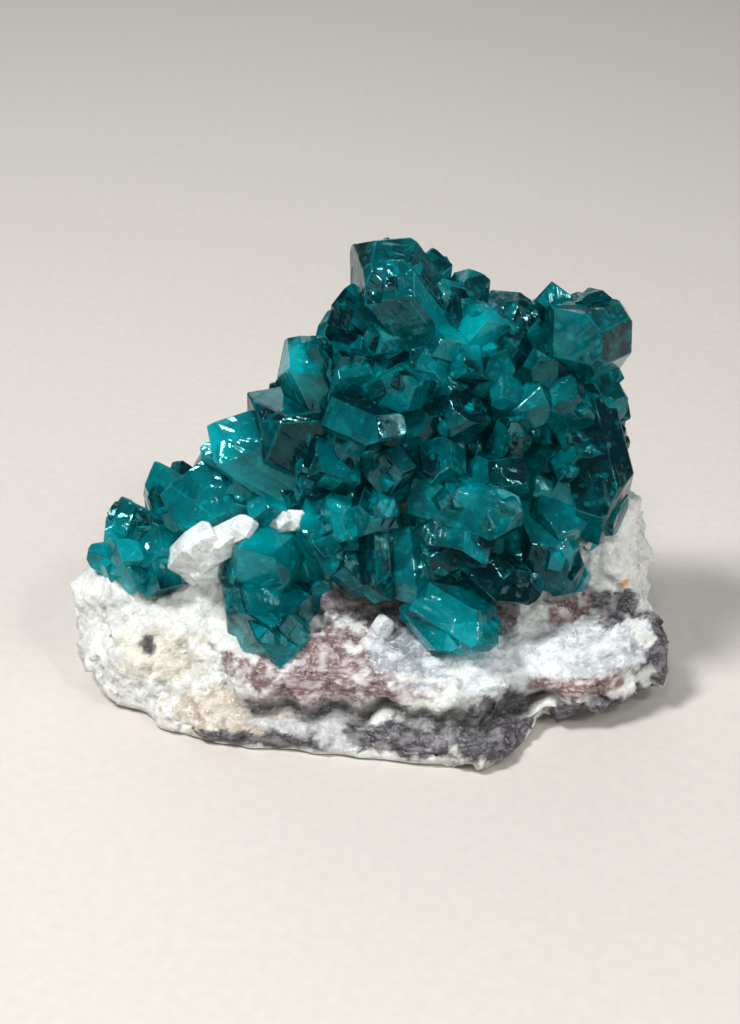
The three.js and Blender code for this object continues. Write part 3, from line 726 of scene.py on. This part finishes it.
def calcite_piece():
    """The calcite crystals that show between the dioptase, joined and coloured."""
    calcite = grown_together("calcite", CALCITE_CRYSTALS, CALCITE_SEED)
    for layer, colour in zip(colour_layers(calcite), CALCITE):
        for item in layer.data:
            item.color = (*colour, 1)
    return calcite


def rock_piece():
    """The rock, broken into facets and grains, with its colours and its calcite crystals."""
    rock = rock_body()
    layers = colour_layers(rock)
    normals = [vertex.normal.copy() for vertex in rock.data.vertices]
    for i, vertex in enumerate(rock.data.vertices):
        point = vertex.co / MM
        for layer, colour in zip(layers, rock_colours(point)):
            layer.data[i].color = (*colour, 1)
        height = rock_height(point) - CRACK_DEPTH * crack_share(point)
        point += normals[i] * height * even_share(point.z, *RELIEF_START)
        point.z = max(0.0, point.z)
        vertex.co = point * MM
    rock.data.shade_smooth()
    join_solids(rock, [calcite_piece()])
    return rock


# Materials


def new_material(name):
    """A new material: its node tree, itself and its shader."""
    material = bpy.data.materials.new(name)
    material.use_nodes = True
    return material.node_tree, material, material.node_tree.nodes["Principled BSDF"]


def add_node(tree, kind, inputs=None, **settings):
    """A node with its settings, and with each input a value or the output socket that feeds it."""
    node = tree.nodes.new(kind)
    for name, value in settings.items():
        setattr(node, name, value)
    for name, value in (inputs or {}).items():
        if isinstance(value, bpy.types.NodeSocket):
            tree.links.new(value, node.inputs[name])
        else:
            node.inputs[name].default_value = value
    return node


def math_node(tree, operation, a, b):
    """A value worked out from two others."""
    return add_node(tree, "ShaderNodeMath", {0: a, 1: b}, operation=operation).outputs[0]


def total(tree, *parts):
    """The sum of several values."""
    result = parts[0]
    for part in parts[1:]:
        result = math_node(tree, "ADD", result, part)
    return result


def vector_node(tree, operation, a, b):
    """A node that works on two vectors."""
    return add_node(tree, "ShaderNodeVectorMath", {0: a, 1: b}, operation=operation)


def mix_colours(tree, share, a, b):
    """A colour between two. The node takes the share in socket 0 and the colours in 6 and 7."""
    return add_node(tree, "ShaderNodeMix", {0: share, 6: a, 7: b}, data_type="RGBA").outputs[2]


def spread(tree, value, start, end, low=0.0, high=1.0):
    """Spreads the range from start to end over the range from low to high."""
    inputs = {"Value": value, "From Min": start, "From Max": end, "To Min": low, "To Max": high}
    return add_node(tree, "ShaderNodeMapRange", inputs).outputs["Result"]


def attribute(tree, name, output):
    """A value or colour that the mesh holds for each point."""
    return add_node(tree, "ShaderNodeAttribute", attribute_name=name).outputs[output]


def uv_place(tree, name):
    """Where a point is on one of the mesh's UV maps."""
    return add_node(tree, "ShaderNodeUVMap", uv_map=name).outputs[0]


def scaled(tree, place, factors):
    """A place with each of its coordinates multiplied by a factor."""
    return add_node(tree, "ShaderNodeMapping", {"Vector": place, "Scale": factors}).outputs[0]


def coordinates(tree):
    """Where a point is on the object, in millimetres."""
    place = add_node(tree, "ShaderNodeTexCoord").outputs["Object"]
    return scaled(tree, place, (1 / MM, 1 / MM, 1 / MM))


def noise_at(tree, place, scale, detail=3.0):
    """Smooth noise, mostly from 0.3 to 0.7."""
    inputs = {"Vector": place, "Scale": scale, "Detail": detail}
    return add_node(tree, "ShaderNodeTexNoise", inputs).outputs["Fac"]


def cells_at(tree, place, cells_per_mm):
    """Outputs of a pattern of cells: each one's random Color, its Position, and the Distance to it."""
    return add_node(tree, "ShaderNodeTexVoronoi", {"Vector": place, "Scale": cells_per_mm}).outputs


def cell_number(tree, place, cells_per_mm):
    """A random number from 0 to 1 for each cell."""
    colour = cells_at(tree, place, cells_per_mm)["Color"]
    return add_node(tree, "ShaderNodeSeparateXYZ", {0: colour}).outputs[0]


def tilted_cells(tree, place, cells_per_mm):
    """Height, in millimetres, of a surface of small flat cells, each tilted its own way."""
    cells = cells_at(tree, place, cells_per_mm)
    tilt = vector_node(tree, "SUBTRACT", cells["Color"], (0.5, 0.5, 0.5)).outputs[0]
    offset = vector_node(tree, "SUBTRACT", place, cells["Position"]).outputs[0]
    return vector_node(tree, "DOT_PRODUCT", tilt, offset).outputs["Value"]


def add_bump(tree, shader, height):
    """Bump from a height in millimetres."""
    bump = add_node(tree, "ShaderNodeBump", {"Height": height, "Distance": MM})
    tree.links.new(bump.outputs["Normal"], shader.inputs["Normal"])


def inner_light(tree, place):
    """How bright the crystals are painted inside: random clouds, patches and tones of each crystal and
    face, painted glints, and the painted light and shade of the attribute glow. 0 is the deepest colour,
    and 1.15 the brightest.
    """
    numbers = add_node(tree, "ShaderNodeSeparateXYZ", {0: uv_place(tree, "shade")}).outputs
    clouds = spread(tree, noise_at(tree, place, scale=0.42, detail=5.0), start=0.38, end=0.68, high=0.2)
    patches = spread(tree, cell_number(tree, place, cells_per_mm=0.6), start=0.0, end=1.0, high=0.2)
    # Painted glints: a few cells of painted light inside the crystals
    painted_glints = spread(tree, cell_number(tree, place, cells_per_mm=1.9), start=0.86, end=1.0, high=0.34)
    of_crystal = spread(tree, numbers[0], start=0.0, end=1.0, low=-0.26, high=0.22)
    of_face = spread(tree, numbers[1], start=0.0, end=1.0, low=-0.2, high=0.32)
    return total(tree, clouds, patches, painted_glints, attribute(tree, "glow", "Fac"), of_crystal, of_face)


def painted_sparks(tree, place):
    """Where painted sparks show as bright points inside, from 0 to 1. They come in crowds."""
    points = spread(tree, cells_at(tree, place, cells_per_mm=1.7)["Distance"], start=0.15, end=0.08)
    crowded = spread(tree, noise_at(tree, place, scale=0.5), start=0.56, end=0.7, high=0.7)
    return math_node(tree, "MULTIPLY", points, crowded)


def crystal_relief(tree, place):
    """Growth lines, etched patches and a slow swell, as a height in millimetres."""
    growth = uv_place(tree, "growth")
    lines = noise_at(tree, scaled(tree, growth, LINE_FINENESS), scale=1.0)
    steps = tilted_cells(tree, scaled(tree, growth, ETCH_FINENESS), cells_per_mm=1.0)
    patchy = noise_at(tree, place, scale=0.3, detail=4.0)
    etched = spread(tree, patchy, start=0.5, end=0.58, high=ETCH_HEIGHT)
    swell = noise_at(tree, place, scale=0.6, detail=1.0)
    return total(tree,
                 math_node(tree, "MULTIPLY", lines, LINE_HEIGHT),
                 math_node(tree, "MULTIPLY", steps, etched),
                 math_node(tree, "MULTIPLY", swell, SWELL_HEIGHT))


def dioptase_material():
    """Blue-green crystal with painted inner light and shade, deep or bright, with growth lines, etched
    patches and painted sparks inside.
    """
    tree, material, shader = new_material("dioptase")
    place = coordinates(tree)
    light = inner_light(tree, place)
    colour = mix_colours(tree, spread(tree, light, start=0.0, end=0.45), DEEP_TEAL, MID_TEAL)
    colour = mix_colours(tree, spread(tree, light, start=0.45, end=1.15), colour, BRIGHT_TEAL)
    # Painted sparks: bright points of painted light in the colour
    colour = mix_colours(tree, painted_sparks(tree, place), colour, PAINTED_SPARK)
    tree.links.new(colour, shader.inputs["Base Color"])
    roughness = spread(tree, noise_at(tree, place, scale=0.35), start=0.45, end=0.7, low=0.03, high=0.22)
    tree.links.new(roughness, shader.inputs["Roughness"])
    shader.inputs["Transmission Weight"].default_value = TRANSMISSION
    shader.inputs["IOR"].default_value = REFRACTIVE_INDEX
    shader.inputs["Specular IOR Level"].default_value = REFLECTION
    shader.inputs["Specular Tint"].default_value = REFLECTION_COLOUR
    add_bump(tree, shader, crystal_relief(tree, place))
    absorption = {"Color": ABSORPTION_COLOUR, "Density": ABSORPTION_DENSITY}
    inside = add_node(tree, "ShaderNodeVolumeAbsorption", absorption)
    tree.links.new(inside.outputs[0], tree.nodes["Material Output"].inputs["Volume"])
    return material


def rock_material():
    """Calcite, from white to pinkish brown and dark grey, with flecks and glittering grains."""
    tree, material, shader = new_material("calcite_rock")
    place = coordinates(tree)
    layers = scaled(tree, place, LAYER_FINENESS)
    coarse = spread(tree, noise_at(tree, layers, scale=0.8, detail=7.0), start=0.46, end=0.63)
    fine = spread(tree, noise_at(tree, layers, scale=2.8, detail=5.0), start=0.53, end=0.64, high=0.75)
    flecks = math_node(tree, "MAXIMUM", coarse, fine)
    main = attribute(tree, "main_colour", "Color")
    other = attribute(tree, "fleck_colour", "Color")
    cloudy = noise_at(tree, place, scale=0.5, detail=4.0)
    tone = spread(tree, cloudy, start=0.3, end=0.7, low=0.8, high=1.08)
    colour = vector_node(tree, "MULTIPLY", mix_colours(tree, flecks, main, other), tone).outputs[0]
    tree.links.new(colour, shader.inputs["Base Color"])
    glitter = cell_number(tree, place, GRAINS_PER_MM)
    roughness = spread(tree, glitter, start=0.0, end=1.0, low=0.12, high=0.75)
    tree.links.new(roughness, shader.inputs["Roughness"])
    pits = math_node(tree, "MULTIPLY", noise_at(tree, place, scale=2.0, detail=5.0), PIT_DEPTH)
    grains = math_node(tree, "MULTIPLY", tilted_cells(tree, place, GRAINS_PER_MM), GRAIN_TILT)
    add_bump(tree, shader, total(tree, pits, grains))
    shader.inputs["Subsurface Weight"].default_value = SUBSURFACE
    shader.inputs["Subsurface Radius"].default_value = SUBSURFACE_RADIUS
    shader.inputs["Subsurface Scale"].default_value = SUBSURFACE_DEPTH * MM
    return material


# Stage


def make_floor():
    """A plain pale floor, faintly mottled."""
    mesh = bmesh.new()
    bmesh.ops.create_grid(mesh, x_segments=1, y_segments=1, size=FLOOR_REACH * MM)
    floor = object_from(mesh, "floor")
    tree, material, shader = new_material("floor")
    paper = spread(tree, noise_at(tree, coordinates(tree), scale=0.8, detail=4.0), start=0.3, end=0.7)
    tree.links.new(mix_colours(tree, paper, FLOOR_DARK, FLOOR_LIGHT), shader.inputs["Base Color"])
    shader.inputs["Roughness"].default_value = FLOOR_ROUGHNESS
    floor.data.materials.append(material)


def add_light(name, at, size, power, colour):
    """A square soft light that faces the specimen, its place and size in millimetres."""
    data = bpy.data.lights.new(name, "AREA")
    data.shape = "SQUARE"
    data.size = size * MM
    data.energy = power
    data.color = colour
    light = object_from_data(data, name)
    light.location = Vector(at) * MM
    aim = Vector(LIGHT_TARGET) - Vector(at)
    light.rotation_mode = "QUATERNION"
    light.rotation_quaternion = aim.to_track_quat("-Z", "Y")


def make_lights():
    """The lights, and the faint even light of the room."""
    for name, light in LIGHTS.items():
        add_light(name, *light)
    world = bpy.data.worlds.new("studio")
    bpy.context.scene.world = world
    world.use_nodes = True
    background = world.node_tree.nodes["Background"]
    background.inputs["Color"].default_value = ROOM_COLOUR
    background.inputs["Strength"].default_value = ROOM_STRENGTH


def make_camera():
    """The camera at the photograph's viewing angle."""
    data = bpy.data.cameras.new("camera")
    data.lens = CAMERA_LENS
    data.clip_start = CAMERA_NEAREST * MM
    camera = object_from_data(data, "camera")
    back = Vector((0, -math.cos(CAMERA_ELEVATION), math.sin(CAMERA_ELEVATION)))
    camera.location = (Vector(CAMERA_TARGET) + back * CAMERA_DISTANCE) * MM
    camera.rotation_mode = "QUATERNION"
    camera.rotation_quaternion = (-back).to_track_quat("-Z", "Y")
    bpy.context.scene.camera = camera


def set_look():
    """Plain colours, as the light gives them."""
    view = bpy.context.scene.view_settings
    view.view_transform = "Standard"
    view.exposure = 0.0


def finish_piece(piece, node, material):
    """Gives a piece its material, and its place in the part."""
    piece.data.materials.clear()
    piece.data.materials.append(material)
    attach(piece, "root")
    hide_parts(node)


def make_rock():
    """The rock as a piece of the part."""
    rock = rock_piece()
    finish_piece(rock, "matrix", rock_material())
    return rock


def make_crystals(rock):
    """The clusters as pieces of the part, with painted light that makes them paler where they meet the
    rock.
    """
    material = dioptase_material()
    rock_tree = surface_tree(rock)
    for name, (crystals, seed) in CLUSTERS.items():
        random = random_stream(seed + STEP_SEED)
        grown = crystals + [step for crystal in crystals for step in stepped(crystal, random)]
        if name == "druse":
            grown += fill_crystals(crystals)
        piece = grown_together(name + "_crystals", grown, seed)
        paint_glow(piece, rock_tree)
        finish_piece(piece, "dioptase_" + name, material)


# The scene


make_camera()
set_look()
make_floor()
make_lights()
make_crystals(make_rock())
